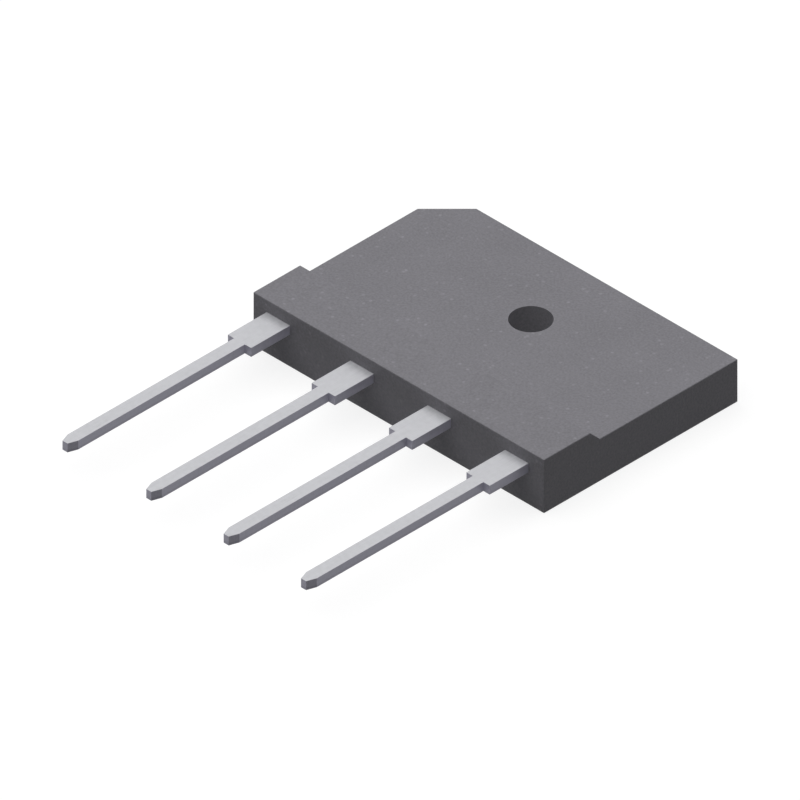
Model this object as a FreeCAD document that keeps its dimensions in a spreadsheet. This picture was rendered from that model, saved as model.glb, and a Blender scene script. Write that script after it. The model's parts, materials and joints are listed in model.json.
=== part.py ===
import FreeCAD, Part
import math
import os
import re

import Sketcher
from FreeCAD import Vector

# A flat in-line bridge rectifier that is screwed to a heatsink through one hole.
# Millimetres. The origin is on the axis of the screw hole, on the heatsink face. +Z points to the
# top face, the leads leave along -Y, and the cut corner that marks the plus lead is at -X, +Y.
# Each piece is drawn from the moulding's left side, lead face and heatsink face, and is then
# placed so that the screw hole stands at the origin.

# Each size: its name in the sheet, its value and what it measures.
SIZES = [
    ("body_width", 30.0, "moulding, along the row of leads"),
    ("body_depth", 20.0, "moulding, from the lead face to the rear face"),
    ("bar_thickness", 4.8, "thick bar along the lead face"),
    ("bar_depth", 4.8, "flat top of the thick bar, from the lead face"),
    ("step_run", 1.0, "slope from the bar down to the rear part, seen from above"),
    ("rear_thickness", 3.8, "thin rear part"),
    ("corner_chamfer", 3.05, "cut corner beside the plus lead"),
    ("edge_radius", 0.08, "outer edges of the moulding"),
    ("hole_diameter", 3.35, "screw hole for a 3 mm screw"),
    ("hole_offset", 0.75, "hole axis, from the middle of the width towards the minus lead"),
    ("hole_from_rear", 7.1, "hole axis, from the rear face"),
    ("lead_length", 22.0, "lead, from the lead face to its tip"),
    ("lead_thickness", 0.8, "sheet that the lead frame is stamped from"),
    ("lead_cover", 1.1, "moulding above a lead where it leaves the lead face"),
    ("root_width", 2.4, "wide root of a lead"),
    ("root_length", 4.0, "wide root of a lead, outside the moulding"),
    ("pin_width", 1.1, "narrow pin of a lead"),
    ("tip_width", 0.52, "flat end of a pin"),
    ("tip_taper", 0.82, "tapered stretch of a pin"),
    ("left_margin", 2.6, "left side to the middle of the plus lead"),
    ("right_margin", 2.8, "right side to the middle of the minus lead"),
    ("lead_pitch", 7.98, "between the three leads on the right"),
    ("joggle_start", 2.4, "lead face to the bend where a lead turns down"),
    ("joggle_angle", 55.0, "slope of the lead between its two levels, in degrees"),
    ("joggle_landing", 0.1, "level stretch between the joggle and the pad"),
    ("bend_radius", 0.4, "inside of each bend in the lead frame"),
    ("base_cover", 0.8, "moulding between the heatsink face and the lead frame"),
    ("side_cover", 1.4, "moulding beside and behind the plus plate"),
    ("hole_cover", 1.5, "moulding between the screw hole and the plus plate"),
    ("frame_gap", 0.7, "between neighbouring pieces of the lead frame"),
    ("pad_border", 0.4, "bare strip of a pad around what is soldered to it"),
    ("foot_gap", 0.3, "between a chip and the foot of a clip on the same pad"),
    ("chip_size", 3.2, "side of a square diode chip"),
    ("chip_thickness", 0.3, "diode chip"),
    ("chip_bevel", 0.12, "etched slope around a chip's top face"),
    ("solder_thickness", 0.05, "solder joint"),
    ("clip_thickness", 0.3, "copper clip"),
    ("clip_width", 1.8, "copper clip"),
    ("clip_rise", 0.7, "bridge of a clip above its foot on a chip"),
    ("clip_angle", 45.0, "slope of a clip between foot and bridge, in degrees"),
    ("clip_bend_radius", 0.15, "inside of each bend in a clip"),
    ("chip_foot", 2.0, "foot of a clip on a chip"),
    ("pad_foot", 1.2, "foot of a clip on a pad"),
]
SIZE_NAMES = re.compile(r"\b(" + "|".join(name for name, value, meaning in SIZES) + r")\b")

# Places that follow from the sizes: X from the left side, Y from the lead face, Z from the
# heatsink face.
HOLE_X = "(body_width / 2 + hole_offset)"
HOLE_Y = "(body_depth - hole_from_rear)"
PLUS_X = "left_margin"
MINUS_X = "(body_width - right_margin)"
AC_RIGHT_X = "(body_width - right_margin - lead_pitch)"
AC_LEFT_X = "(body_width - right_margin - 2 * lead_pitch)"

EXIT_Z = "(bar_thickness - lead_cover - lead_thickness)"
PAD_TOP_Z = "(base_cover + lead_thickness)"
PAD_JOINT_Z = f"({PAD_TOP_Z} + solder_thickness)"
CHIP_TOP_Z = f"({PAD_JOINT_Z} + chip_thickness)"
CHIP_JOINT_Z = f"({CHIP_TOP_Z} + solder_thickness)"
BRIDGE_Z = f"({CHIP_JOINT_Z} + clip_rise)"

# The pads begin where the joggle has levelled out. Behind one another, each AC pad carries a chip
# and the foot of a clip. The plus plate lies behind the pads.
JOGGLE_RUN = f"(({EXIT_Z} - base_cover) / tan(joggle_angle))"
JOGGLE_END = "((lead_thickness + bend_radius) * tan(joggle_angle / 2) + joggle_landing)"
PAD_FRONT_Y = f"(joggle_start + {JOGGLE_RUN} + {JOGGLE_END})"
PAD_CHIP_Y = f"({PAD_FRONT_Y} + pad_border + chip_size / 2)"
PAD_FOOT_Y = f"({PAD_CHIP_Y} + chip_size / 2 + foot_gap + pad_foot / 2)"
PAD_REAR_Y = f"({PAD_FOOT_Y} + pad_foot / 2 + pad_border)"
PLATE_FRONT_Y = f"({PAD_REAR_Y} + frame_gap)"
PLATE_REAR_Y = "(body_depth - side_cover)"
PLATE_CHIP_Y = f"(({PLATE_FRONT_Y} + {PLATE_REAR_Y}) / 2)"

# From left to right: the AC pads reach from the inner side of their own lead to the outer lead
# beside them. Each has its chip at the inner end and its clip at the outer end, in line with the
# chip on the plus plate that this clip comes from.
PLUS_LEFT = f"({PLUS_X} - root_width / 2)"
PLUS_RIGHT = f"({PLUS_X} + root_width / 2)"
MINUS_LEFT = f"({MINUS_X} - root_width / 2)"
MINUS_RIGHT = f"({MINUS_X} + root_width / 2)"
LEFT_PAD = (f"({PLUS_RIGHT} + frame_gap)", f"({AC_LEFT_X} + root_width / 2)")
RIGHT_PAD = (f"({AC_RIGHT_X} - root_width / 2)", f"({MINUS_LEFT} - frame_gap)")
LEFT_CLIP_X = f"({LEFT_PAD[0]} + pad_border + clip_width / 2)"
RIGHT_CLIP_X = f"({RIGHT_PAD[1]} - pad_border - clip_width / 2)"
LEFT_CHIP_X = f"({LEFT_PAD[1]} - pad_border - chip_size / 2)"
RIGHT_CHIP_X = f"({RIGHT_PAD[0]} + pad_border + chip_size / 2)"

# What a strip is made of: its thickness, the slope of its steps and its inner bend radius.
LEAD_SHEET = ("lead_thickness", "joggle_angle", "bend_radius")
CLIP_SHEET = ("clip_thickness", "clip_angle", "clip_bend_radius")

# Waste beyond the outline that a stamping is cut from, and how near counts as the same place.
TRIM = 1.0
CLOSE = 1e-6

doc = FreeCAD.newDocument("BridgeRectifier")
sheet = doc.addObject("Spreadsheet::Sheet", "Sizes")
for row, (size_name, value, meaning) in enumerate(SIZES, 1):
    sheet.set(f"A{row}", meaning)
    sheet.set(f"B{row}", str(value))
    sheet.setAlias(f"B{row}", size_name)
doc.recompute()


def bind(item, target, expression):
    """Ties one property of an object to the sizes in the sheet."""
    item.setExpression(target, SIZE_NAMES.sub(r"Sizes.\1", expression))


def number(expression):
    """What an expression of sizes comes to."""
    return float(sheet.evalExpression(expression))


def place(item, x="0", y="0", z="0"):
    """Puts an object at x, y, z, counted from the moulding's left side, lead face and base."""
    bind(item, "Placement.Base.x", f"{x} - {HOLE_X}")
    bind(item, "Placement.Base.y", f"{y} - {HOLE_Y}")
    bind(item, "Placement.Base.z", z)


def new_body(name):
    """An empty piece, for the features that follow."""
    body = doc.addObject("PartDesign::Body", name)
    body.Label = name
    return body


def new_sketch(body, name, plane_role, offset="0"):
    """An empty sketch on one of the body's own planes, moved along the plane's normal."""
    sketch = body.newObject("Sketcher::SketchObject", f"{body.Name}_{name}")
    plane = next(item for item in body.Origin.OriginFeatures if item.Role == plane_role)
    sketch.AttachmentSupport = [(plane, "")]
    sketch.MapMode = "FlatFace"
    bind(sketch, "AttachmentOffset.Base.z", offset)
    return sketch


def hold(sketch, kind, elements, expression):
    """A dimension of a sketch that is tied to the sheet."""
    index = sketch.addConstraint(Sketcher.Constraint(kind, *elements, number(expression)))
    bind(sketch, f"Constraints[{index}]", expression)


def hold_point(sketch, geometry, position, x, y):
    """Ties a point of a sketch to its two distances from the sketch's origin."""
    hold(sketch, "DistanceX", (-1, 1, geometry, position), x)
    hold(sketch, "DistanceY", (-1, 1, geometry, position), y)


def draw_polygon(sketch, corners):
    """A closed outline of straight lines through corners that are tied to the sheet."""
    points = [Vector(number(x), number(y), 0) for x, y in corners]
    lines = [
        sketch.addGeometry(Part.LineSegment(start, end))
        for start, end in zip(points, points[1:] + points[:1])
    ]
    for line, following in zip(lines, lines[1:] + lines[:1]):
        sketch.addConstraint(Sketcher.Constraint("Coincident", line, 2, following, 1))
    for line, (x, y) in zip(lines, corners):
        hold_point(sketch, line, 1, x, y)


def draw_rectangle(sketch, left, right, low, high):
    """A rectangle between two places across and two places up."""
    draw_polygon(sketch, [(left, low), (right, low), (right, high), (left, high)])


def draw_circle(sketch, x, y, radius):
    """A circle about a point that is tied to the sheet."""
    centre = Vector(number(x), number(y), 0)
    circle = sketch.addGeometry(Part.Circle(centre, Vector(0, 0, 1), number(radius)))
    hold_point(sketch, circle, 3, x, y)
    hold(sketch, "Radius", (circle,), radius)


def draw_notch(sketch, x, y, radius, mouth):
    """A U with its round end about x, y and its straight sides running forward to its mouth."""
    middle, depth, reach, front = number(x), number(y), number(radius), number(mouth)
    circle = Part.Circle(Vector(middle, depth, 0), Vector(0, 0, 1), reach)
    corners = [
        Vector(middle - reach, depth, 0),
        Vector(middle - reach, front, 0),
        Vector(middle + reach, front, 0),
        Vector(middle + reach, depth, 0),
    ]
    arc = sketch.addGeometry(Part.ArcOfCircle(circle, 0, math.pi))
    left, across, right = [
        sketch.addGeometry(Part.LineSegment(start, end)) for start, end in zip(corners, corners[1:])
    ]
    sketch.addConstraint(Sketcher.Constraint("Tangent", arc, 2, left, 1))
    sketch.addConstraint(Sketcher.Constraint("Coincident", left, 2, across, 1))
    sketch.addConstraint(Sketcher.Constraint("Coincident", across, 2, right, 1))
    sketch.addConstraint(Sketcher.Constraint("Tangent", right, 2, arc, 1))
    sketch.addConstraint(Sketcher.Constraint("Vertical", left))
    sketch.addConstraint(Sketcher.Constraint("Horizontal", across))
    sketch.addConstraint(Sketcher.Constraint("Vertical", right))
    hold_point(sketch, arc, 3, x, y)
    hold(sketch, "Radius", (arc,), radius)
    hold(sketch, "DistanceY", (-1, 1, left, 2), mouth)


def add_pad(body, name, sketch, length):
    """Thickens a sketch along its normal."""
    pad = body.newObject("PartDesign::Pad", f"{body.Name}_{name}")
    pad.Profile = sketch
    bind(pad, "Length", length)
    doc.recompute()


def add_cut(body, name, sketch):
    """Cuts a sketch right through the body, both ways."""
    before = body.Shape.Volume
    pocket = body.newObject("PartDesign::Pocket", f"{body.Name}_{name}")
    pocket.Profile = sketch
    pocket.SideType = "Symmetric"
    pocket.Type = "ThroughAll"
    doc.recompute()
    if body.Shape.Volume >= before:
        raise ValueError(f"{pocket.Name} cuts nothing")


def dress_edges(body, name, kind, size, chosen):
    """Rounds the edges that the test chooses (Fillet), or cuts them at 45 degrees (Chamfer)."""
    base = body.Tip
    edges = [f"Edge{count}" for count, edge in enumerate(base.Shape.Edges, 1) if chosen(edge)]
    if not edges:
        raise ValueError(f"{body.Name}_{name} finds no edge")
    feature = body.newObject(f"PartDesign::{kind}", f"{body.Name}_{name}")
    feature.Base = (base, edges)
    bind(feature, {"Fillet": "Radius", "Chamfer": "Size"}[kind], size)
    doc.recompute()


def crosses_at(edge, along_y, corners):
    """Whether an edge runs straight across a strip at one of the corners of its side view."""
    middle = edge.CenterOfMass
    across = Vector(1, 0, 0) if along_y else Vector(0, 1, 0)
    if abs(edge.tangentAt(edge.FirstParameter).dot(across)) < 1 - CLOSE:
        return False
    along = middle.y if along_y else middle.x
    return any(
        abs(along - number(place_along)) < CLOSE and abs(middle.z - number(height)) < CLOSE
        for place_along, height in corners
    )


def folded_strip(body, along_y, sides, ends, levels, steps, material):
    """A strip of sheet metal with bends, which runs along Y or else along X.

    sides are its two sides and ends its two ends. levels are the heights of its underside, and
    steps are the places where that starts to go from one level to the next. On each slope the
    upper line lies beside the lower one by thickness * tan(angle / 2), so that the slope is as
    thick as the rest.
    """
    thickness, angle, radius = material
    lower = [(ends[0], levels[0])]
    upper = [(ends[0], f"{levels[0]} + {thickness}")]
    inner = []
    outer = []
    for start, level, following in zip(steps, levels, levels[1:]):
        falls = number(following) < number(level)
        drop = f"({level} - {following})" if falls else f"({following} - {level})"
        landing = f"({start} + {drop} / tan({angle}))"
        beside = f"{'' if falls else '-'}{thickness} * tan({angle} / 2)"
        low_pair = [(start, level), (landing, following)]
        high_pair = [(f"{x} + {beside}", f"{z} + {thickness}") for x, z in low_pair]
        lower += low_pair
        upper += high_pair
        inner += [low_pair[0], high_pair[1]] if falls else [high_pair[0], low_pair[1]]
        outer += [high_pair[0], low_pair[1]] if falls else [low_pair[0], high_pair[1]]
    lower.append((ends[1], levels[-1]))
    upper.append((ends[1], f"{levels[-1]} + {thickness}"))
    plane_role, offset = ("YZ_Plane", sides[0]) if along_y else ("XZ_Plane", f"-({sides[1]})")
    side_view = new_sketch(body, "side_view", plane_role, offset)
    draw_polygon(side_view, lower + upper[::-1])
    add_pad(body, "strip", side_view, f"({sides[1]}) - ({sides[0]})")
    dress_edges(
        body, "inner_bends", "Fillet", radius, lambda edge: crosses_at(edge, along_y, inner)
    )
    dress_edges(
        body,
        "outer_bends",
        "Fillet",
        f"{radius} + {thickness}",
        lambda edge: crosses_at(edge, along_y, outer),
    )


def make_lead(name, x, sides, rear, pad_corners):
    """One lead of the frame: a strip with a joggle in the moulding, stamped to its outline.

    The outline runs round the pin, up the right side of the root, through the corners of the pad,
    and back down the left side.
    """
    body = new_body(name)
    ends = ("-lead_length", rear)
    folded_strip(body, True, sides, ends, [EXIT_Z, "base_cover"], ["joggle_start"], LEAD_SHEET)
    taper_end = "tip_taper - lead_length"
    outline = [
        (f"{x} - tip_width / 2", "-lead_length"),
        (f"{x} + tip_width / 2", "-lead_length"),
        (f"{x} + pin_width / 2", taper_end),
        (f"{x} + pin_width / 2", "-root_length"),
        (f"{x} + root_width / 2", "-root_length"),
        *pad_corners,
        (f"{x} - root_width / 2", "-root_length"),
        (f"{x} - pin_width / 2", "-root_length"),
        (f"{x} - pin_width / 2", taper_end),
    ]
    waste = new_sketch(body, "waste", "XY_Plane")
    draw_rectangle(
        waste,
        f"{sides[0]} - {TRIM}",
        f"{sides[1]} + {TRIM}",
        f"-lead_length - {TRIM}",
        f"{rear} + {TRIM}",
    )
    draw_polygon(waste, outline)
    add_cut(body, "outline", waste)
    place(body)
    return body


def make_lead_plus():
    """The plus lead runs back along the left side to the plate that carries two chips.

    The plate is notched around the screw hole, and its corner follows the moulding's cut corner.
    """
    right = "(body_width - side_cover)"
    corner = "(corner_chamfer - (2 - sqrt(2)) * side_cover)"
    pad_corners = [
        (PLUS_RIGHT, PLATE_FRONT_Y),
        (right, PLATE_FRONT_Y),
        (right, PLATE_REAR_Y),
        (f"{PLUS_LEFT} + {corner}", PLATE_REAR_Y),
        (PLUS_LEFT, f"{PLATE_REAR_Y} - {corner}"),
    ]
    body = make_lead("lead_plus", PLUS_X, (PLUS_LEFT, right), PLATE_REAR_Y, pad_corners)
    notch = new_sketch(body, "notch", "XY_Plane")
    radius = "hole_diameter / 2 + hole_cover"
    draw_notch(notch, HOLE_X, HOLE_Y, radius, f"{PLATE_FRONT_Y} - {TRIM}")
    add_cut(body, "screw_notch", notch)
    return body


def make_lead_ac_left():
    """The left AC lead, whose pad reaches to the left towards the plus lead."""
    left, right = LEFT_PAD
    pad_corners = [
        (right, PAD_REAR_Y),
        (left, PAD_REAR_Y),
        (left, PAD_FRONT_Y),
        (f"{AC_LEFT_X} - root_width / 2", PAD_FRONT_Y),
    ]
    return make_lead("lead_ac_left", AC_LEFT_X, LEFT_PAD, PAD_REAR_Y, pad_corners)


def make_lead_ac_right():
    """The right AC lead, whose pad reaches to the right towards the minus lead."""
    left, right = RIGHT_PAD
    pad_corners = [
        (f"{AC_RIGHT_X} + root_width / 2", PAD_FRONT_Y),
        (right, PAD_FRONT_Y),
        (right, PAD_REAR_Y),
        (left, PAD_REAR_Y),
    ]
    return make_lead("lead_ac_right", AC_RIGHT_X, RIGHT_PAD, PAD_REAR_Y, pad_corners)


def make_lead_minus():
    """The minus lead, which ends in a plain pad under the foot of its clip."""
    rear = f"({PAD_CHIP_Y} + clip_width / 2 + pad_border)"
    pad_corners = [(MINUS_RIGHT, rear), (MINUS_LEFT, rear)]
    return make_lead("lead_minus", MINUS_X, (MINUS_LEFT, MINUS_RIGHT), rear, pad_corners)


def make_chip(name, x, y):
    """A square diode chip, cathode down, with an etched slope around its top face."""
    body = new_body(f"chip_{name}")
    square = new_sketch(body, "square", "XY_Plane")
    draw_rectangle(square, "-chip_size / 2", "chip_size / 2", "-chip_size / 2", "chip_size / 2")
    add_pad(body, "wafer", square, "chip_thickness")
    top = number("chip_thickness")
    dress_edges(
        body, "mesa", "Chamfer", "chip_bevel", lambda edge: edge.BoundBox.ZMin > top - CLOSE
    )
    place(body, x, y, PAD_JOINT_Z)
    return body


def make_solder(name, x, y, z, length, width):
    """A flat solder joint with its middle at x, y and its underside at z."""
    slab = doc.addObject("Part::Box", f"solder_{name}")
    slab.Label = f"solder_{name}"
    bind(slab, "Length", length)
    bind(slab, "Width", width)
    bind(slab, "Height", "solder_thickness")
    place(slab, f"{x} - {length} / 2", f"{y} - {width} / 2", z)
    return slab


def make_diode(name, x, y, clip_footprint):
    """A chip with the solder joints that hold it to the lead frame and to its clip."""
    return [
        make_chip(name, x, y),
        make_solder(f"under_{name}", x, y, PAD_TOP_Z, "chip_size", "chip_size"),
        make_solder(f"on_{name}", x, y, CHIP_TOP_Z, *clip_footprint),
    ]


def make_clip_ac(side, x):
    """A clip from the chip on the plus plate forward to the AC pad, with its joint there."""
    body = new_body(f"clip_ac_{side}")
    sides = (f"{x} - clip_width / 2", f"{x} + clip_width / 2")
    ends = (f"{PAD_FOOT_Y} - pad_foot / 2", f"{PLATE_CHIP_Y} + chip_foot / 2")
    steps = [
        f"({PAD_FOOT_Y} + pad_foot / 2)",
        f"({PLATE_CHIP_Y} - chip_foot / 2 - clip_rise / tan(clip_angle))",
    ]
    levels = [PAD_JOINT_Z, BRIDGE_Z, CHIP_JOINT_Z]
    folded_strip(body, True, sides, ends, levels, steps, CLIP_SHEET)
    place(body)
    joint = make_solder(f"foot_ac_{side}", x, PAD_FOOT_Y, PAD_TOP_Z, "clip_width", "pad_foot")
    return [body, joint]


def make_clip_minus():
    """One clip over both chips on the AC pads to the minus lead, with its joint there."""
    body = new_body("clip_minus")
    sides = (f"{PAD_CHIP_Y} - clip_width / 2", f"{PAD_CHIP_Y} + clip_width / 2")
    ends = (f"{LEFT_CHIP_X} - chip_foot / 2", f"{MINUS_X} + pad_foot / 2")
    levels = [CHIP_JOINT_Z, BRIDGE_Z, CHIP_JOINT_Z, BRIDGE_Z, PAD_JOINT_Z]
    steps = [
        f"({LEFT_CHIP_X} + chip_foot / 2)",
        f"({RIGHT_CHIP_X} - chip_foot / 2 - clip_rise / tan(clip_angle))",
        f"({RIGHT_CHIP_X} + chip_foot / 2)",
        f"({MINUS_X} - pad_foot / 2 - ({BRIDGE_Z} - {PAD_JOINT_Z}) / tan(clip_angle))",
    ]
    folded_strip(body, False, sides, ends, levels, steps, CLIP_SHEET)
    place(body)
    joint = make_solder("foot_minus", MINUS_X, PAD_CHIP_Y, PAD_TOP_Z, "pad_foot", "clip_width")
    return [body, joint]


def is_cut_corner(edge):
    """Whether this is the upright edge at the left of the rear face."""
    box = edge.BoundBox
    return box.XMax < CLOSE and box.YMin > number("body_depth") - CLOSE and box.ZLength > CLOSE


def is_outer_edge(edge):
    """Whether this is any edge but the inner one at the foot of the slope, which stays sharp."""
    box = edge.BoundBox
    return box.YLength > CLOSE or abs(box.YMin - number("bar_depth + step_run")) > CLOSE


def make_moulding():
    """The outer form of the moulding: its stepped section, cut corner and screw hole."""
    body = new_body("moulding")
    section = new_sketch(body, "section", "YZ_Plane")
    corners = [
        ("0", "0"),
        ("body_depth", "0"),
        ("body_depth", "rear_thickness"),
        ("bar_depth + step_run", "rear_thickness"),
        ("bar_depth", "bar_thickness"),
        ("0", "bar_thickness"),
    ]
    draw_polygon(section, corners)
    add_pad(body, "block", section, "body_width")
    dress_edges(body, "cut_corner", "Chamfer", "corner_chamfer", is_cut_corner)
    dress_edges(body, "eased_edges", "Fillet", "edge_radius", is_outer_edge)
    hole = new_sketch(body, "hole", "XY_Plane")
    draw_circle(hole, HOLE_X, HOLE_Y, "hole_diameter / 2")
    add_cut(body, "screw_hole", hole)
    place(body)
    return body


def make_moulded_body(inserts):
    """The moulding, with the room that the lead frame, chips, joints and clips take inside it."""
    inside = doc.addObject("Part::MultiFuse", "inserts")
    inside.Shapes = inserts
    moulded = doc.addObject("Part::Cut", "moulded_body")
    moulded.Label = "moulded_body"
    moulded.Base = make_moulding()
    moulded.Tool = inside
    return moulded


def check_document(parts):
    """Stops if any object of the document failed, or if a piece isn't one sound solid."""
    for item in doc.Objects:
        if "Invalid" in item.State or "Error" in item.State:
            raise ValueError(f"{item.Name} failed: {item.State}")
    for part in parts:
        if part.Shape.isNull() or not part.Shape.isValid():
            raise ValueError(f"{part.Label} has no valid shape")
        if len(part.Shape.Solids) != 1:
            raise ValueError(f"{part.Label} has {len(part.Shape.Solids)} solids")


def write_parts(parts):
    """Writes each piece to a file of its own name."""
    os.makedirs("parts", exist_ok=True)
    for part in parts:
        part.Shape.exportStep(os.path.join("parts", f"{part.Label}.step"))
        print(f"{part.Label}: {part.Shape.Volume:.3f} mm3")


ALONG_Y = ("clip_width", "chip_foot")
ALONG_X = ("chip_foot", "clip_width")
inner_pieces = [
    make_lead_plus(),
    make_lead_ac_left(),
    make_lead_ac_right(),
    make_lead_minus(),
    *make_diode("plus_left", LEFT_CLIP_X, PLATE_CHIP_Y, ALONG_Y),
    *make_diode("plus_right", RIGHT_CLIP_X, PLATE_CHIP_Y, ALONG_Y),
    *make_diode("minus_left", LEFT_CHIP_X, PAD_CHIP_Y, ALONG_X),
    *make_diode("minus_right", RIGHT_CHIP_X, PAD_CHIP_Y, ALONG_X),
    *make_clip_ac("left", LEFT_CLIP_X),
    *make_clip_ac("right", RIGHT_CLIP_X),
    *make_clip_minus(),
]
pieces = [make_moulded_body(inner_pieces), *inner_pieces]
doc.recompute()
check_document(pieces)
write_parts(pieces)
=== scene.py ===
"""Finishes, studio and camera for a flat in-line bridge rectifier with four leads and a screw hole.

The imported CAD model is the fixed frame. Each of its nodes keeps its shape and place, and gets a
procedural finish.
"""
import json

import bmesh
import bpy
from bpy.props import FloatProperty, FloatVectorProperty, PointerProperty
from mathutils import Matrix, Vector


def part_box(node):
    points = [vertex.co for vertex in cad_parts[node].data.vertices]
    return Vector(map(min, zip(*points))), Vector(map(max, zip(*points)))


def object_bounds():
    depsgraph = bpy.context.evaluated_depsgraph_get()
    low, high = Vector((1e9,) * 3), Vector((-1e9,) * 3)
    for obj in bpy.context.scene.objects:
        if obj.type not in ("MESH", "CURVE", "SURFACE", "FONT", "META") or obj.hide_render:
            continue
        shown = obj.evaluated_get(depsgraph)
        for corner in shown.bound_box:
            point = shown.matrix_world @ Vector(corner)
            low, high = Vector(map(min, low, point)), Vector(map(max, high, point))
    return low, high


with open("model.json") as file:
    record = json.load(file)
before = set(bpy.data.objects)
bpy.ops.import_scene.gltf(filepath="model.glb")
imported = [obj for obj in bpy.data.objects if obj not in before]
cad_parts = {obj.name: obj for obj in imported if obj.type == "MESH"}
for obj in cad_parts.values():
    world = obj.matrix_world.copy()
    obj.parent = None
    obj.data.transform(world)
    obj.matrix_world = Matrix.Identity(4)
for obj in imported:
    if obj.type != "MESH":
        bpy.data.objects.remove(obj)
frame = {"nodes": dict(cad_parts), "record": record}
CAD_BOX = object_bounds()

bl_info = {
    "name": "Bridge rectifier",
    "version": (1, 0, 0),
    "blender": (4, 5, 0),
    "location": "3D View > Sidebar > Rectifier",
    "description": "Dresses a moulded bridge rectifier and sets up its studio",
    "category": "Object",
}

LEAD_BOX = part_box("lead_minus")
WHITE = (1.0, 1.0, 1.0, 1.0)

# Rays that look for a worn edge, and how alike the rounded and the plain normal are where its mask
# starts and where it is full
EDGE_RAYS = 8
EDGE_LIKENESS = (1.0, 0.8)

# How far a normal points up or down where the mask of upright sides starts and where it is full
UPRIGHT = (0.5, 0.2)

# How far it points along the leads where a slanted side sets itself off from a long side and from an end;
# the slanted sides at the tips get a painted shade
OFF_LONG_SIDE = (0.1, 0.25)
OFF_END = (0.9, 0.6)

# Random values of the cells that hold a fleck, and how far it reaches from the middle of its cell
FLECK_CHANCE = (0.80, 0.95)
FLECK_REACH = (0.40, 0.15)

# Noise where tarnish starts and where it is full
TARNISH_NOISE = (-0.15, 0.25)

# The floor's cells along a side, and how far it lies below the object
FLOOR_CELLS = 4
FLOOR_DROP = 0.00002

# Brightness that the open floor shows, a little over white, and what a white floor sends back there
FLOOR_BRIGHTNESS = 1.05
OPEN_LIGHT = 0.95

# Nearest and furthest that the camera sees
CAMERA_RANGE = (0.001, 10.0)


# Shader maths

class Wire:
    """An output socket of a node tree. Arithmetic on it adds Math nodes, and node() any other node."""

    def __init__(self, tree, socket):
        self.tree = tree
        self.socket = socket

    def node(self, kind, settings, sockets, output=0):
        """Adds a node, sets its settings and then its sockets, and returns one of its outputs."""
        added = self.tree.nodes.new(kind)
        for name, value in settings.items():
            setattr(added, name, value)
        for key, value in sockets.items():
            socket = pick_socket(added.inputs, key)
            if isinstance(value, Wire):
                self.tree.links.new(value.socket, socket)
            else:
                socket.default_value = value
        if output is None:
            return None
        return Wire(self.tree, pick_socket(added.outputs, output))

    def beside(self, output):
        """Another output of the node that this one leaves."""
        return Wire(self.tree, pick_socket(self.socket.node.outputs, output))

    def maths(self, operation, first, second=0.0):
        """A Math node on one or two values."""
        return self.node("ShaderNodeMath", {"operation": operation}, {0: first, 1: second})

    def __add__(self, other):
        return self.maths("ADD", self, other)

    def __radd__(self, other):
        return self.maths("ADD", other, self)

    def __sub__(self, other):
        return self.maths("SUBTRACT", self, other)

    def __rsub__(self, other):
        return self.maths("SUBTRACT", other, self)

    def __mul__(self, other):
        return self.maths("MULTIPLY", self, other)

    def __rmul__(self, other):
        return self.maths("MULTIPLY", other, self)

    def __abs__(self):
        return self.maths("ABSOLUTE", self)

    def larger(self, other):
        """The larger of this value and another."""
        return self.maths("MAXIMUM", self, other)


def pick_socket(sockets, key):
    """The socket at an index, or else with an identifier or a name."""
    if isinstance(key, int):
        return sockets[key]
    for socket in sockets:
        if socket.identifier == key:
            return socket
    return sockets[key]


def noise(point, size, detail=2.0):
    """Soft noise round 0, in patches about as wide as size, with detail more layers of finer ones."""
    sockets = {"Vector": point, "Scale": 1 / size, "Detail": detail}
    return point.node("ShaderNodeTexNoise", {}, sockets, "Fac") - 0.5


def streaks(point, widths):
    """Noise drawn out into lines. The widths are its sizes along X, Y and Z."""
    scales = tuple(1 / width for width in widths)
    spread = point.node("ShaderNodeVectorMath", {"operation": "MULTIPLY"}, {0: point, 1: scales})
    return noise(spread, 1.0)


def cells(point, size):
    """A random value from 0 to 1 for each small cell, and the distance from its middle, in cell sizes."""
    sockets = {"Vector": point, "Scale": 1 / size}
    distance = point.node("ShaderNodeTexVoronoi", {}, sockets, "Distance")
    chance = point.node("ShaderNodeSeparateColor", {}, {"Color": distance.beside("Color")}, "Red")
    return chance, distance


def ramp(value, start, full):
    """0 where value is start, 1 where it is full, and smooth between them."""
    sockets = {"Value": value, "From Min": start, "From Max": full}
    return value.node("ShaderNodeMapRange", {"interpolation_type": "SMOOTHSTEP"}, sockets, "Result")


def split(vector):
    """The three parts of a vector."""
    first = vector.node("ShaderNodeSeparateXYZ", {}, {"Vector": vector}, "X")
    return first, first.beside("Y"), first.beside("Z")


def worn_edges(point, width):
    """1 on the edges of the piece and 0 beyond width from them."""
    rounded = point.node("ShaderNodeBevel", {"samples": EDGE_RAYS}, {"Radius": width}, "Normal")
    plain = point.node("ShaderNodeNewGeometry", {}, {}, "Normal")
    sockets = {0: rounded, 1: plain}
    alike = point.node("ShaderNodeVectorMath", {"operation": "DOT_PRODUCT"}, sockets, "Value")
    return ramp(alike, *EDGE_LIKENESS)


def opaque(colour):
    """A colour with its alpha, or a wire as it is."""
    return colour if isinstance(colour, Wire) else (*colour, 1.0)


def tinted(colour, tone):
    """A colour made lighter or darker by a tone round 1."""
    sockets = {0: colour if isinstance(colour, Wire) else tuple(colour), "Scale": tone}
    return tone.node("ShaderNodeVectorMath", {"operation": "SCALE"}, sockets, "Vector")


def mixed(factor, first, second):
    """A colour between two others."""
    sockets = {"Factor_Float": factor, "A_Color": opaque(first), "B_Color": opaque(second)}
    return factor.node("ShaderNodeMix", {"data_type": "RGBA"}, sockets, "Result_Color")


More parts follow.
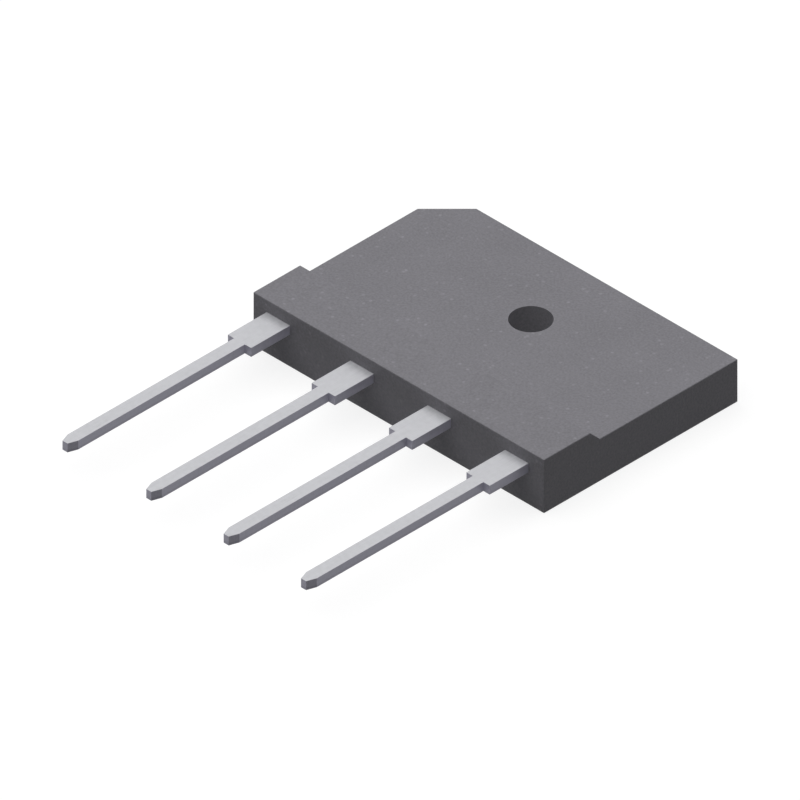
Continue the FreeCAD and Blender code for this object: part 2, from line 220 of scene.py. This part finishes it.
def relief(height, depth):
    """A normal for a surface that varies in height by depth."""
    return height.node("ShaderNodeBump", {}, {"Height": height, "Distance": depth}, "Normal")


# Making a finish and giving it to CAD nodes

def empty_tree(holder):
    """The emptied node tree of a material or a world, as a wire with no socket yet."""
    holder.use_nodes = True
    holder.node_tree.nodes.clear()
    return Wire(holder.node_tree, None)


def new_finish(name):
    """An empty material, and the point of its surface in the part's own frame, in metres."""
    material = bpy.data.materials.new(name)
    point = empty_tree(material).node("ShaderNodeTexCoord", {}, {}, "Object")
    return material, point


def close_finish(point, sockets):
    """Ends a material in its surface shader and output."""
    surface = point.node("ShaderNodeBsdfPrincipled", {}, sockets, "BSDF")
    point.node("ShaderNodeOutputMaterial", {}, {"Surface": surface}, None)


def dress(slot, material):
    """Gives a finish to every CAD node that the record gives this material slot to."""
    names = [part["node"] for part in frame["record"]["subparts"] if part["material_slot"] == slot]
    if not names:
        raise RuntimeError(f"no CAD node has the material slot {slot}")
    for name in names:
        for place in frame["nodes"][name].material_slots:
            place.material = material


# Sizes and colours that a user may change

def a_length(name, description, default):
    """A property for a length in metres."""
    return FloatProperty(
        name=name, description=description, default=default, min=0.0, precision=6, unit="LENGTH"
    )


def a_share(name, description, default):
    """A property for a share from none to all."""
    return FloatProperty(
        name=name, description=description, default=default, min=0.0, max=1.0, subtype="FACTOR"
    )


def a_power(name, description, default):
    """A property for a lamp's power in watts."""
    return FloatProperty(name=name, description=description, default=default, min=0.0, unit="POWER")


def a_colour(name, description, default):
    """A property for a colour."""
    return FloatVectorProperty(
        name=name, description=description, default=default, size=3, min=0.0, max=1.0, subtype="COLOR"
    )


class MouldingLook(bpy.types.PropertyGroup):
    """Looks of the epoxy moulding"""
    colour: a_colour("Compound colour", "Colour of the mineral-filled epoxy", (0.194, 0.190, 0.207))
    roughness: a_share("Roughness", "Roughness of the moulded surface", 0.62)
    gloss: a_share("Gloss", "How much light the bare surface reflects", 0.2)
    grain_size: a_length("Grain size", "Width of the pits that the spark-eroded mould leaves", 0.00018)
    grain_depth: a_length("Grain depth", "Depth of the pits", 0.000012)
    grain_tone: a_share("Grain tone", "How much the pits vary the colour", 0.60)
    grain_rough: a_share("Grain roughness", "How much the pits vary the roughness", 0.20)
    fleck_size: a_length("Fleck size", "Spacing of the pale grains of filler", 0.00045)
    fleck_tone: a_share("Fleck tone", "How much lighter the pale grains are", 0.26)
    fleck_height: a_share("Fleck height", "Height of the pale grains, as a share of the pits' depth", 0.3)
    cloud_size: a_length("Cloud size", "Width of the cloudy flow marks", 0.004)
    cloud_tone: a_share("Cloud tone", "How much the flow marks vary the colour", 0.24)
    cloud_rough: a_share("Cloud roughness", "How much the flow marks vary the roughness", 0.16)
    edge_width: a_length("Edge width", "How far the rubbed line reaches in from an edge", 0.00014)
    edge_tone: a_share("Edge tone", "How much lighter a rubbed edge is", 0.22)
    edge_polish: a_share("Edge polish", "How much smoother a rubbed edge is", 0.10)


class LeadLook(bpy.types.PropertyGroup):
    """Looks of the tin-plated leads"""
    colour: a_colour("Tin colour", "Colour of the matte tin plating", (0.497, 0.500, 0.523))
    # Partly the duller sheared finish and partly painted shade: the upright sides are drawn darker and
    # bluer than the tin on top
    punched: a_colour("Punched colour", "Colour of the sides that the punch leaves", (0.424, 0.418, 0.496))
    roughness: a_share("Roughness", "Roughness of the plating", 0.5)
    metal: a_share("Metal", "Share of the plating that mirrors as metal does", 0.2)
    sheet: a_length("Sheet thickness", "Thickness of the strip that the leads are punched from", 0.0008)
    line_width: a_length("Line width", "Width of the fine rolled lines along a lead", 0.00005)
    line_length: a_length("Line length", "Length of the rolled lines", 0.003)
    line_depth: a_length("Line depth", "Depth of the rolled lines", 0.000002)
    line_tone: a_share("Line tone", "How much the rolled lines vary the colour", 0.24)
    line_rough: a_share("Line roughness", "How much the rolled lines vary the roughness", 0.16)
    grain_size: a_length("Tin grain size", "Width of the grains of the plating", 0.0004)
    grain_tone: a_share("Tin grain tone", "How much the grains vary the colour", 0.20)
    grain_rough: a_share("Tin grain roughness", "How much the grains vary the roughness", 0.20)
    grain_height: a_share("Tin grain height", "Height of the grains, as a share of the line depth", 0.6)
    torn_band: a_length("Torn band", "Height of the torn lower band of a punched side", 0.00028)
    torn_tone: a_share("Torn tone", "How much darker the torn band is", 0.06)
    torn_rough: a_share("Torn roughness", "How much rougher the torn band is", 0.12)
    torn_step: a_share("Torn step", "Height of the torn band's step, as a share of the line depth", 0.5)
    # Painted shade on the slanted sides at the tips
    tip_painted_shade: a_share("Tip tone", "How much darker the slanted sides of a tip are", 0.42)
    edge_width: a_length("Edge width", "How far the polished line reaches in from an edge", 0.00006)
    edge_tone: a_share("Edge tone", "How much lighter a polished edge is", 0.12)
    edge_polish: a_share("Edge polish", "How much smoother a polished edge is", 0.08)


class ClipLook(bpy.types.PropertyGroup):
    """Looks of the copper clips"""
    colour: a_colour("Copper colour", "Colour of the bare copper", (0.640, 0.305, 0.190))
    tarnish: a_colour("Tarnish colour", "Colour of the tarnished patches", (0.460, 0.200, 0.120))
    roughness: a_share("Roughness", "Roughness of the bare copper", 0.34)
    tarnish_size: a_length("Tarnish size", "Width of the tarnished patches", 0.0016)
    tarnish_rough: a_share("Tarnish roughness", "How much rougher the patches are", 0.20)
    tarnish_height: a_share("Tarnish height", "Height of the patches, as a share of the line depth", 0.3)
    line_width: a_length("Line width", "Width of the fine rolled lines", 0.00004)
    line_length: a_length("Line length", "Length of the rolled lines", 0.0015)
    line_depth: a_length("Line depth", "Depth of the rolled lines", 0.000003)
    line_tone: a_share("Line tone", "How much the rolled lines vary the colour", 0.45)
    line_rough: a_share("Line roughness", "How much the rolled lines vary the roughness", 0.20)
    edge_width: a_length("Edge width", "How far the bright line reaches in from an edge", 0.00004)
    edge_tone: a_share("Edge tone", "How much lighter an edge is", 0.15)
    edge_polish: a_share("Edge polish", "How much smoother an edge is", 0.08)


class ChipLook(bpy.types.PropertyGroup):
    """Looks of the diode chips"""
    colour: a_colour("Metal colour", "Colour of the metal on a chip's faces", (0.520, 0.520, 0.540))
    glass: a_colour("Glass colour", "Colour of the glass on a chip's rim", (0.060, 0.070, 0.110))
    roughness: a_share("Roughness", "Roughness of the metal", 0.36)
    metal: a_share("Metal", "Share of the faces that mirrors as metal does", 0.9)
    rim: a_share("Rim", "Width of the glass rim, as a share of the chip", 0.09)
    rim_core: a_share("Rim core", "Part of the rim where the glass hides the metal", 0.8)
    rim_polish: a_share("Rim polish", "How much smoother the glass is", 0.14)
    line_width: a_length("Line width", "Width of the fine sawn lines", 0.00004)
    line_length: a_length("Line length", "Length of the sawn lines", 0.0015)
    line_depth: a_length("Line depth", "Depth of the sawn lines", 0.000003)
    line_tone: a_share("Line tone", "How much the sawn lines vary the colour", 0.15)
    line_rough: a_share("Line roughness", "How much the sawn lines vary the roughness", 0.16)


class SolderLook(bpy.types.PropertyGroup):
    """Looks of the solder joints"""
    colour: a_colour("Solder colour", "Colour of the solder", (0.460, 0.460, 0.480))
    roughness: a_share("Roughness", "Roughness of the solder", 0.44)
    metal: a_share("Metal", "Share of the solder that mirrors as metal does", 0.9)
    crystal_size: a_length("Crystal size", "Width of the crystals that show on solder", 0.0004)
    crystal_tone: a_share("Crystal tone", "How much the crystals vary the colour", 0.20)
    crystal_rough: a_share("Crystal roughness", "How much the crystals vary the roughness", 0.16)
    crystal_height: a_share("Crystal height", "Height of a crystal, as a share of the grain depth", 0.5)
    grain_size: a_length("Grain size", "Width of the fine grain", 0.00004)
    grain_depth: a_length("Grain depth", "Depth of the fine grain", 0.000003)
    grain_tone: a_share("Grain tone", "How much the grain varies the colour", 0.15)
    grain_rough: a_share("Grain roughness", "How much the grain varies the roughness", 0.12)


class StudioLook(bpy.types.PropertyGroup):
    """Floor, light and camera"""
    floor_width: a_length("Floor width", "Side of the square floor", 1.2)
    floor_shade: a_share("Floor shade", "How pale the floor is where it lights the object", 0.04)
    mottle_size: a_length("Mottle size", "Width of the faint patches on the floor", 0.02)
    mottle_tone: a_share("Mottle tone", "How much the faint patches vary the floor's shade", 0.02)
    shadow: a_share("Shadow", "Share of the floor's brightness that a shadow takes away", 0.28)
    air: a_share("Air light", "Even light from all round", 0.03)
    lamp_distance: a_length("Lamp distance", "How far above and below the object the lamps are", 0.5)
    softbox_width: a_length("Softbox width", "Side of the square lamp overhead", 1.0)
    softbox_watts: a_power("Softbox power", "Power of the lamp overhead", 4.95)
    softbox_shift: FloatVectorProperty(
        name="Softbox shift", description="How far the lamp overhead stands off the object's middle",
        size=2, unit="LENGTH", default=(-0.05, -0.02)
    )
    under_width: a_length("Under light width", "Side of the square lamp below the floor", 0.15)
    under_watts: a_power("Under light power", "Power of the lamp below the floor", 1.5)
    view_width: a_length("View width", "Width of the picture, at the object", 0.05834)
    view_distance: a_length("View distance", "Distance of the camera from the point it looks at", 0.3)
    aim: FloatVectorProperty(
        name="Aim", description="Point in the middle of the picture", size=3, subtype="TRANSLATION",
        unit="LENGTH", default=(0.00146, -0.01496, 0.00479)
    )
    toward: FloatVectorProperty(
        name="Toward camera", description="Direction from the object to the camera", size=3,
        subtype="DIRECTION", default=(1.0, -1.0, 1.0)
    )


# The finishes

class RECTIFIER_OT_moulding(bpy.types.Operator):
    """Dress the moulding in dark grey, mineral-filled epoxy with a fine matte texture"""
    bl_idname = "rectifier.moulding"
    bl_label = "Dress moulding"

    def execute(self, context):
        look = context.scene.rectifier_moulding
        material, point = new_finish("moulding_compound")
        grain = noise(point, look.grain_size)
        cloud = noise(point, look.cloud_size, detail=4.0)
        chance, distance = cells(point, look.fleck_size)
        fleck = ramp(chance, *FLECK_CHANCE) * ramp(distance, *FLECK_REACH)
        edge = worn_edges(point, look.edge_width)
        tone = 1.0 + look.grain_tone * grain + look.cloud_tone * cloud + look.fleck_tone * fleck
        rough = look.roughness + look.grain_rough * grain + look.cloud_rough * cloud
        close_finish(point, {
            "Base Color": tinted(look.colour, tone + look.edge_tone * edge),
            "Roughness": rough - look.edge_polish * edge,
            "Specular IOR Level": look.gloss,
            "Normal": relief(grain + look.fleck_height * fleck, look.grain_depth),
        })
        dress("moulding_compound", material)
        return {"FINISHED"}


class RECTIFIER_OT_leads(bpy.types.Operator):
    """Dress the four leads in matte tin plating over punched, rolled copper strip"""
    bl_idname = "rectifier.leads"
    bl_label = "Dress leads"

    def execute(self, context):
        look = context.scene.rectifier_leads
        material, point = new_finish("tinned_copper")
        rolled = streaks(point, (look.line_width, look.line_length, look.line_width))
        sheared = streaks(point, (look.line_width, look.line_width, look.line_length))
        grain = noise(point, look.grain_size, detail=4.0)
        _, _, height = split(point)
        _, endways, upwards = split(point.node("ShaderNodeNewGeometry", {}, {}, "True Normal"))
        side = ramp(abs(upwards), *UPRIGHT)
        slanted = side * ramp(abs(endways), *OFF_LONG_SIDE) * ramp(abs(endways), *OFF_END)
        under = LEAD_BOX[1].z - look.sheet
        torn = side * ramp(height, under + look.torn_band, under + look.torn_band / 2)
        line = rolled * (1.0 - side) + sheared * side
        edge = worn_edges(point, look.edge_width)
        tone = 1.0 + look.line_tone * line + look.grain_tone * grain - look.torn_tone * torn
        # Painted shade darkens the slanted sides at the tips
        tone = tone + look.edge_tone * edge - look.tip_painted_shade * slanted
        rough = look.roughness + look.line_rough * line + look.grain_rough * grain
        bumps = line + look.grain_height * grain + look.torn_step * torn
        close_finish(point, {
            # The upright sides take the punched colour, which is partly the sheared finish and partly
            # painted shade
            "Base Color": tinted(mixed(side, look.colour, look.punched), tone),
            "Metallic": look.metal,
            "Roughness": rough + look.torn_rough * torn - look.edge_polish * edge,
            "Normal": relief(bumps, look.line_depth),
        })
        dress("tinned_copper", material)
        return {"FINISHED"}


class RECTIFIER_OT_clips(bpy.types.Operator):
    """Dress the clips on top of the chips in rolled copper with a light tarnish"""
    bl_idname = "rectifier.clips"
    bl_label = "Dress copper clips"

    def execute(self, context):
        look = context.scene.rectifier_clips
        material, point = new_finish("bare_copper")
        line = streaks(point, (look.line_width, look.line_length, look.line_width))
        patch = noise(point, look.tarnish_size, detail=5.0)
        edge = worn_edges(point, look.edge_width)
        tarnish = ramp(patch, *TARNISH_NOISE) * (1.0 - edge)
        copper = mixed(tarnish, look.colour, look.tarnish)
        rough = look.roughness + look.line_rough * line + look.tarnish_rough * tarnish
        close_finish(point, {
            "Base Color": tinted(copper, 1.0 + look.line_tone * line + look.edge_tone * edge),
            "Metallic": 1.0,
            "Roughness": rough - look.edge_polish * edge,
            "Normal": relief(line + look.tarnish_height * patch, look.line_depth),
        })
        dress("bare_copper", material)
        return {"FINISHED"}


class RECTIFIER_OT_chips(bpy.types.Operator):
    """Dress the four diode chips in metallised silicon with a dark glass rim"""
    bl_idname = "rectifier.chips"
    bl_label = "Dress chips"

    def execute(self, context):
        look = context.scene.rectifier_chips
        material, point = new_finish("silicon")
        across, along, _ = split(point.beside("Generated"))
        inset = 0.5 - abs(across - 0.5).larger(abs(along - 0.5))
        rim = ramp(inset, look.rim, look.rim_core * look.rim)
        sawn = streaks(point, (look.line_width, look.line_length, look.line_width))
        crossed = streaks(point, (look.line_length, look.line_width, look.line_width))
        lines = sawn + crossed
        metal = tinted(look.colour, 1.0 + look.line_tone * lines)
        close_finish(point, {
            "Base Color": mixed(rim, metal, look.glass),
            "Metallic": look.metal * (1.0 - rim),
            "Roughness": look.roughness + look.line_rough * lines - look.rim_polish * rim,
            "Normal": relief(lines, look.line_depth),
        })
        dress("silicon", material)
        return {"FINISHED"}


class RECTIFIER_OT_solder(bpy.types.Operator):
    """Dress the solder joints in dull solder with a fine crystal pattern"""
    bl_idname = "rectifier.solder"
    bl_label = "Dress solder"

    def execute(self, context):
        look = context.scene.rectifier_solder
        material, point = new_finish("solder")
        chance, distance = cells(point, look.crystal_size)
        crystal = chance - 0.5
        grain = noise(point, look.grain_size)
        tone = 1.0 + look.crystal_tone * crystal + look.grain_tone * grain
        close_finish(point, {
            "Base Color": tinted(look.colour, tone),
            "Metallic": look.metal,
            "Roughness": look.roughness + look.crystal_rough * crystal + look.grain_rough * grain,
            "Normal": relief(grain - look.crystal_height * distance, look.grain_depth),
        })
        dress("solder", material)
        return {"FINISHED"}


# The studio

def seen_directly(start):
    """1 for a ray from the camera, or one that metal or glass sends on, and 0 for the rest."""
    camera = start.node("ShaderNodeLightPath", {}, {}, "Is Camera Ray")
    return camera.larger(camera.beside("Is Glossy Ray")).larger(camera.beside("Is Transmission Ray"))


def floor_paint(look):
    """A plain pale paint. It shows white, keeps the shadow and can be seen through from below."""
    material, point = new_finish("floor_paint")
    mottle = 1.0 + look.mottle_tone * noise(point, look.mottle_size)
    plain = point.node("ShaderNodeBsdfPrincipled", {}, {
        "Base Color": tinted((look.floor_shade,) * 3, mottle),
        "Roughness": 1.0,
        "Specular IOR Level": 0.0,
    }, "BSDF")
    shade = opaque((look.shadow,) * 3)
    shaded = point.node("ShaderNodeBsdfDiffuse", {}, {"Color": shade}, "BSDF")
    strength = FLOOR_BRIGHTNESS - OPEN_LIGHT * look.shadow
    own = point.node("ShaderNodeEmission", {}, {"Strength": strength}, "Emission")
    white = point.node("ShaderNodeAddShader", {}, {0: shaded, 1: own}, "Shader")
    direct = seen_directly(point)
    lit = point.node("ShaderNodeMixShader", {}, {0: direct, 1: plain, 2: white}, "Shader")
    below = point.node("ShaderNodeNewGeometry", {}, {}, "Backfacing")
    passes = below.larger(point.node("ShaderNodeLightPath", {}, {}, "Is Shadow Ray"))
    clear = point.node("ShaderNodeBsdfTransparent", {}, {}, "BSDF")
    surface = point.node("ShaderNodeMixShader", {}, {0: passes, 1: lit, 2: clear}, "Shader")
    point.node("ShaderNodeOutputMaterial", {}, {"Surface": surface}, None)
    return material


def add_floor(look):
    """A square floor, just under the object."""
    mesh = bpy.data.meshes.new("floor")
    shape = bmesh.new()
    half = look.floor_width / 2
    bmesh.ops.create_grid(shape, x_segments=FLOOR_CELLS, y_segments=FLOOR_CELLS, size=half)
    shape.to_mesh(mesh)
    shape.free()
    mesh.materials.append(floor_paint(look))
    floor = bpy.data.objects.new("floor", mesh)
    floor.location.z = -FLOOR_DROP
    bpy.context.scene.collection.objects.link(floor)


def add_air(look):
    """Even light from all round, white where it is seen directly."""
    world = bpy.data.worlds.new("studio_air")
    start = empty_tree(world)
    dim = start.node("ShaderNodeBackground", {}, {"Color": WHITE, "Strength": look.air}, "Background")
    white = start.node("ShaderNodeBackground", {}, {"Color": WHITE, "Strength": 1.0}, "Background")
    light = start.node("ShaderNodeMixShader", {}, {0: seen_directly(start), 1: dim, 2: white}, "Shader")
    start.node("ShaderNodeOutputWorld", {}, {"Surface": light}, None)
    bpy.context.scene.world = world


def add_lamp(name, watts, width, place, aim):
    """A square area lamp that faces a point."""
    data = bpy.data.lights.new(name, "AREA")
    data.shape = "SQUARE"
    data.size = width
    data.energy = watts
    lamp = bpy.data.objects.new(name, data)
    lamp.location = place
    lamp.rotation_mode = "QUATERNION"
    lamp.rotation_quaternion = (aim - place).to_track_quat("-Z", "Y")
    bpy.context.scene.collection.objects.link(lamp)


def add_camera(look):
    """The photograph's view: equal scale on all three axes, from above the minus lead's side."""
    data = bpy.data.cameras.new("camera")
    data.type = "ORTHO"
    data.ortho_scale = look.view_width
    data.clip_start, data.clip_end = CAMERA_RANGE
    camera = bpy.data.objects.new("camera", data)
    back = Vector(look.toward).normalized()
    camera.location = Vector(look.aim) + look.view_distance * back
    camera.rotation_mode = "QUATERNION"
    camera.rotation_quaternion = (-back).to_track_quat("-Z", "Y")
    bpy.context.scene.collection.objects.link(camera)
    bpy.context.scene.camera = camera


class RECTIFIER_OT_studio(bpy.types.Operator):
    """Add the floor, the soft light and the camera"""
    bl_idname = "rectifier.studio"
    bl_label = "Set up studio"

    def execute(self, context):
        look = context.scene.rectifier_studio
        middle = sum(CAD_BOX, Vector()) / 2
        over = middle + Vector((*look.softbox_shift, look.lamp_distance))
        under = middle - Vector((0.0, 0.0, look.lamp_distance))
        add_floor(look)
        add_air(look)
        add_lamp("softbox", look.softbox_watts, look.softbox_width, over, middle)
        add_lamp("under_light", look.under_watts, look.under_width, under, middle)
        add_camera(look)
        context.scene.view_settings.view_transform = "Standard"
        return {"FINISHED"}


# The sidebar, and where a scene keeps each step's look

STEPS = (
    ("rectifier_moulding", MouldingLook, RECTIFIER_OT_moulding),
    ("rectifier_leads", LeadLook, RECTIFIER_OT_leads),
    ("rectifier_clips", ClipLook, RECTIFIER_OT_clips),
    ("rectifier_chips", ChipLook, RECTIFIER_OT_chips),
    ("rectifier_solder", SolderLook, RECTIFIER_OT_solder),
    ("rectifier_studio", StudioLook, RECTIFIER_OT_studio),
)


class RECTIFIER_PT_sidebar(bpy.types.Panel):
    """The rectifier's finishes and studio"""
    bl_label = "Bridge rectifier"
    bl_idname = "RECTIFIER_PT_sidebar"
    bl_space_type = "VIEW_3D"
    bl_region_type = "UI"
    bl_category = "Rectifier"

    def draw(self, context):
        for holder, _, operator in STEPS:
            look = getattr(context.scene, holder)
            box = self.layout.box()
            box.operator(operator.bl_idname)
            for name in look.__annotations__:
                box.prop(look, name)


def register():
    """Makes the looks, the operators and the panel known, and gives every scene its looks."""
    for holder, look, operator in STEPS:
        bpy.utils.register_class(look)
        bpy.utils.register_class(operator)
        setattr(bpy.types.Scene, holder, PointerProperty(type=look))
    bpy.utils.register_class(RECTIFIER_PT_sidebar)


def unregister():
    """Takes back all that register() adds."""
    bpy.utils.unregister_class(RECTIFIER_PT_sidebar)
    for holder, look, operator in reversed(STEPS):
        delattr(bpy.types.Scene, holder)
        bpy.utils.unregister_class(operator)
        bpy.utils.unregister_class(look)


def main():
    """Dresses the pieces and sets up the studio."""
    register()
    bpy.ops.rectifier.moulding()
    bpy.ops.rectifier.leads()
    bpy.ops.rectifier.clips()
    bpy.ops.rectifier.chips()
    bpy.ops.rectifier.solder()
    bpy.ops.rectifier.studio()


if __name__ == "__main__":
    main()
